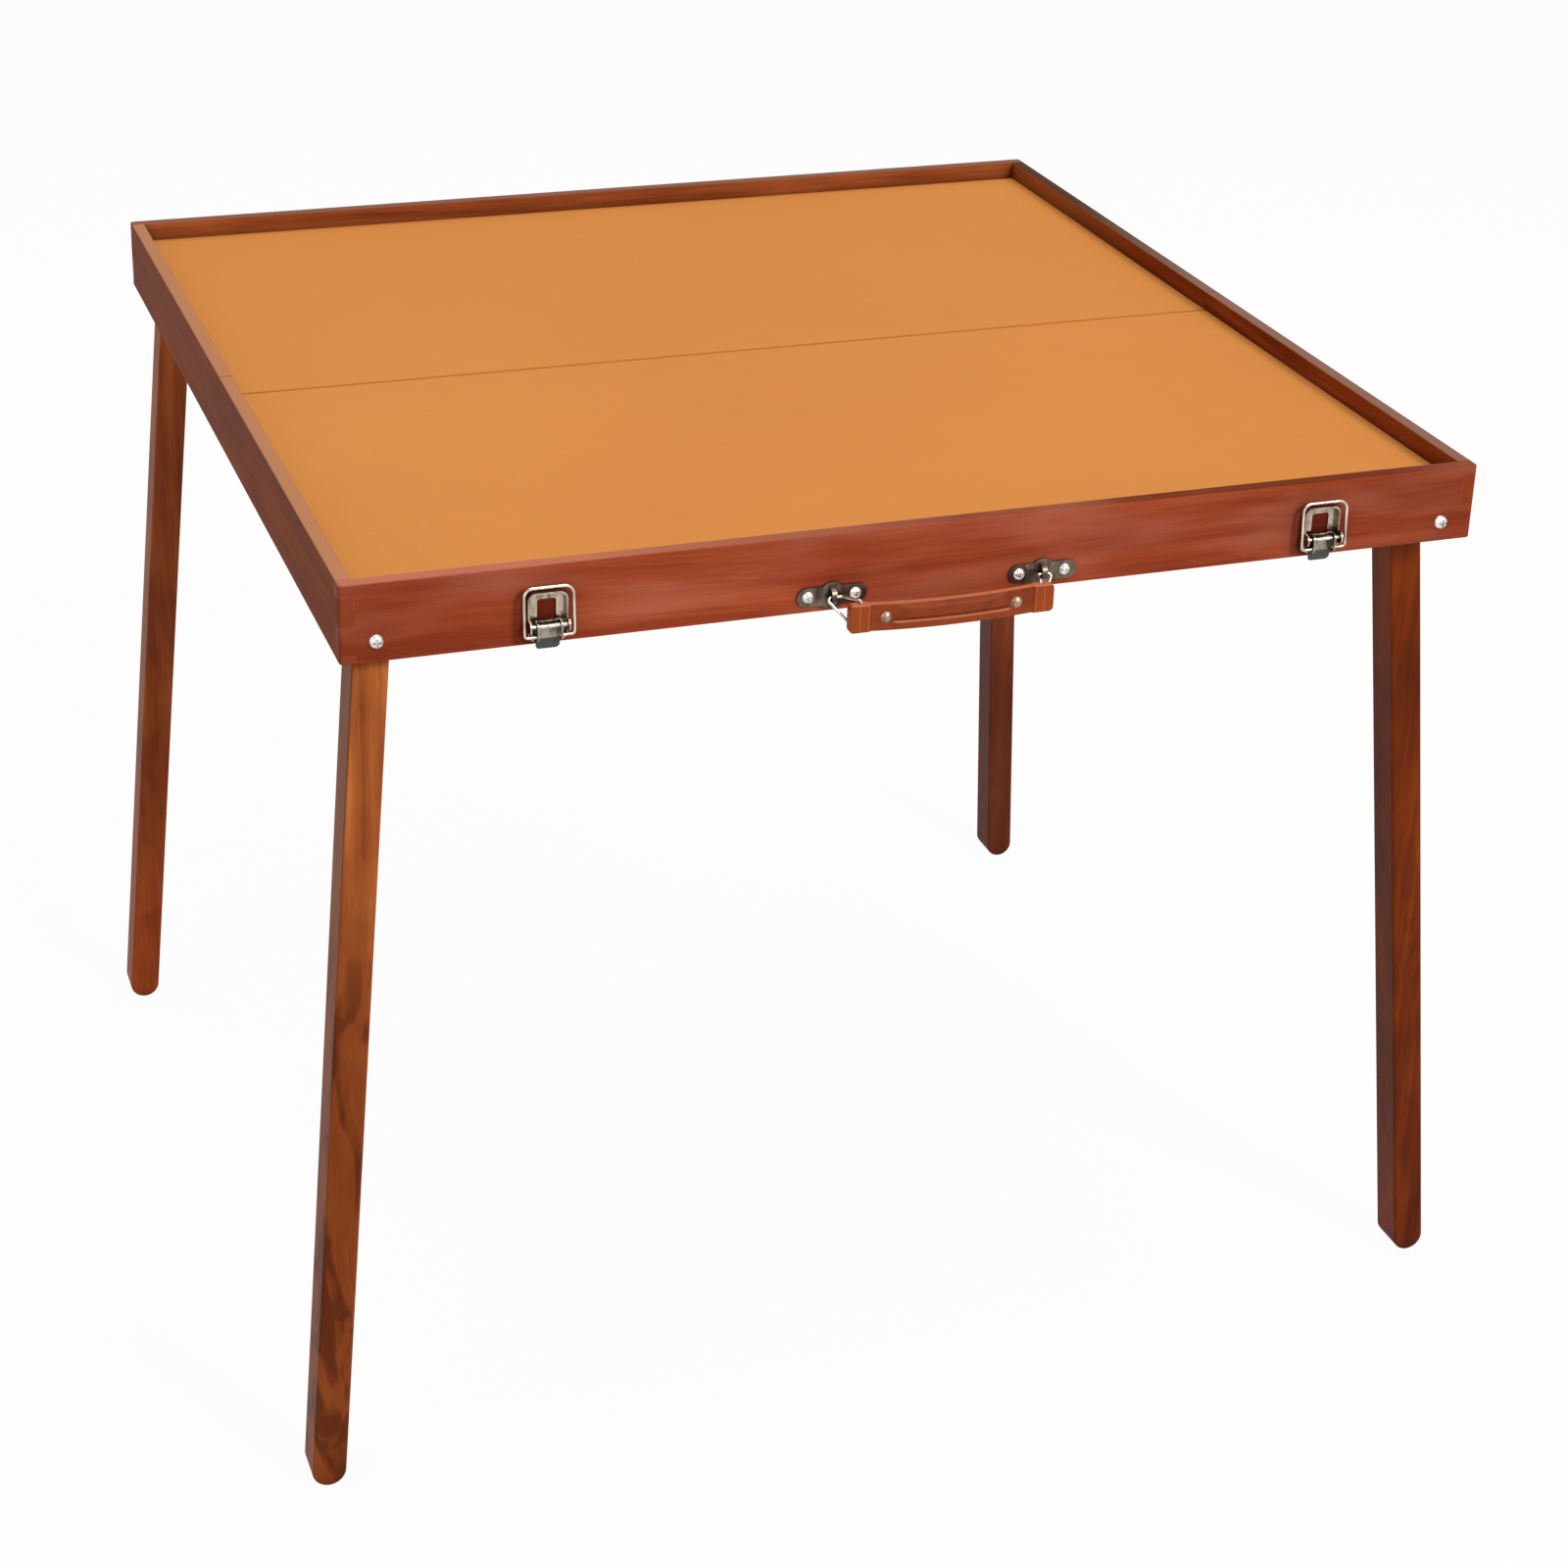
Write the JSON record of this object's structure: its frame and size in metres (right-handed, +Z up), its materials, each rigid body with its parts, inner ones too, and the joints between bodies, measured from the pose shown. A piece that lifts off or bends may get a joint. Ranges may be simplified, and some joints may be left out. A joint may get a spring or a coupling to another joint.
{
  "type": "folding card table",
  "caption": "Square folding card table: two hinged wooden trays with swing-out legs, toggle latches and a leather carrying handle.",
  "frame": {"origin": "on the floor, under the middle of the table's bounding box", "axes": "+X along the boards with the latches and the handle, +Y from that front board to the rear, +Z up"},
  "size_m": [0.983, 0.8932, 0.742],
  "materials": {
    "board_wood": "red-brown stain, satin varnish",
    "leg_wood": "red-brown stain, satin varnish",
    "panel_board": "plain board",
    "playing_facing": "matt, close weave",
    "brass": "satin",
    "nickel": "bright nickel plate",
    "bronzed_steel": "dark bronzed",
    "handle_leather": "smooth, waxed"
  },
  "bodies": {
    "front_tray": {"front_apron": "board_wood", "front_left_side": "board_wood", "front_right_side": "board_wood", "front_middle_rail": "board_wood", "front_panel": "panel_board", "front_playing_surface": "playing_facing", "front_leg_spacer": "board_wood", "front_hinge_leaves": "brass", "front_hinge_screws": "brass", "front_leg_bolts": "nickel", "front_leg_washers": "nickel", "front_leg_nuts": "nickel", "left_latch_base": "nickel", "right_latch_base": "nickel", "left_latch_pin": "nickel", "right_latch_pin": "nickel", "latch_base_screws": "nickel", "left_handle_bracket": "bronzed_steel", "right_handle_bracket": "bronzed_steel", "handle_bracket_screws": "nickel"},
    "hinge_pins": {"hinge_pins": "brass"},
    "rear_tray": {"rear_apron": "board_wood", "rear_left_side": "board_wood", "rear_right_side": "board_wood", "rear_middle_rail": "board_wood", "rear_panel": "panel_board", "rear_playing_surface": "playing_facing", "rear_leg_spacer": "board_wood", "rear_hinge_leaves": "brass", "rear_hinge_screws": "brass", "rear_leg_bolts": "nickel", "rear_leg_washers": "nickel", "rear_leg_nuts": "nickel", "left_latch_strike": "nickel", "right_latch_strike": "nickel", "latch_strike_screws": "nickel"},
    "handle": {"leather_handle": "handle_leather", "handle_rivets": "nickel", "left_handle_ring": "nickel", "right_handle_ring": "nickel"},
    "front_left_leg": {"front_left_leg": "leg_wood"},
    "front_right_leg": {"front_right_leg": "leg_wood"},
    "rear_left_leg": {"rear_left_leg": "leg_wood"},
    "rear_right_leg": {"rear_right_leg": "leg_wood"},
    "left_lever": {"left_latch_lever": "nickel"},
    "left_bail": {"left_latch_bail": "nickel"},
    "right_lever": {"right_latch_lever": "nickel"},
    "right_bail": {"right_latch_bail": "nickel"}
  },
  "joints": [
    {"name": "seam_fold", "type": "hinge", "parent": "front_tray", "child": "hinge_pins", "pos_m": [-0.01183, 0.01022, 0.68385], "axis": [-1, 0, 0], "range_deg": [0, 130]},
    {"name": "seam_close", "type": "hinge", "parent": "hinge_pins", "child": "rear_tray", "pos_m": [-0.01183, 0.01022, 0.68385], "axis": [-1, 0, 0], "range_deg": [0, 50]},
    {"name": "front_left_swing", "type": "hinge", "parent": "front_tray", "child": "front_left_leg", "pos_m": [-0.41645, -0.39137, 0.699], "axis": [0, -1, 0], "range_deg": [0, 94.01]},
    {"name": "front_right_swing", "type": "hinge", "parent": "front_tray", "child": "front_right_leg", "pos_m": [0.39188, -0.35237, 0.699], "axis": [0, 1, 0], "range_deg": [0, 97.21]},
    {"name": "rear_left_swing", "type": "hinge", "parent": "rear_tray", "child": "rear_left_leg", "pos_m": [-0.41611, 0.37283, 0.699], "axis": [0, -1, 0], "range_deg": [0, 95.21]},
    {"name": "rear_right_swing", "type": "hinge", "parent": "rear_tray", "child": "rear_right_leg", "pos_m": [0.39318, 0.41182, 0.699], "axis": [0, 1, 0], "range_deg": [0, 92.61]},
    {"name": "left_lever_swing", "type": "hinge", "parent": "front_tray", "child": "left_lever", "pos_m": [-0.29883, -0.42778, 0.7], "axis": [-1, 0, 0], "range_deg": [0, 165]},
    {"name": "left_bail_swing", "type": "hinge", "parent": "left_lever", "child": "left_bail", "pos_m": [-0.29883, -0.42923, 0.69315], "axis": [1, 0, 0], "range_deg": [0, 357.02]},
    {"name": "right_lever_swing", "type": "hinge", "parent": "front_tray", "child": "right_lever", "pos_m": [0.28917, -0.42778, 0.7], "axis": [-1, 0, 0], "range_deg": [0, 165]},
    {"name": "right_bail_swing", "type": "hinge", "parent": "right_lever", "child": "right_bail", "pos_m": [0.28917, -0.42923, 0.69315], "axis": [1, 0, 0], "range_deg": [0, 357.02]},
    {"name": "handle_swing", "type": "hinge", "parent": "front_tray", "child": "handle", "pos_m": [-0.01183, -0.42478, 0.696], "axis": [-1, 0, 0], "range_deg": [0, 85]}
  ],
  "couplings": [
    {"joint": "front_left_swing", "follows": "seam_fold", "ratio": 0.72308},
    {"joint": "front_right_swing", "follows": "seam_fold", "ratio": 0.74769},
    {"joint": "rear_left_swing", "follows": "seam_fold", "ratio": 0.73231},
    {"joint": "rear_right_swing", "follows": "seam_fold", "ratio": 0.71231},
    {"joint": "left_bail_swing", "follows": "left_lever_swing", "ratio": 2.1637},
    {"joint": "right_bail_swing", "follows": "right_lever_swing", "ratio": 2.1637}
  ]
}
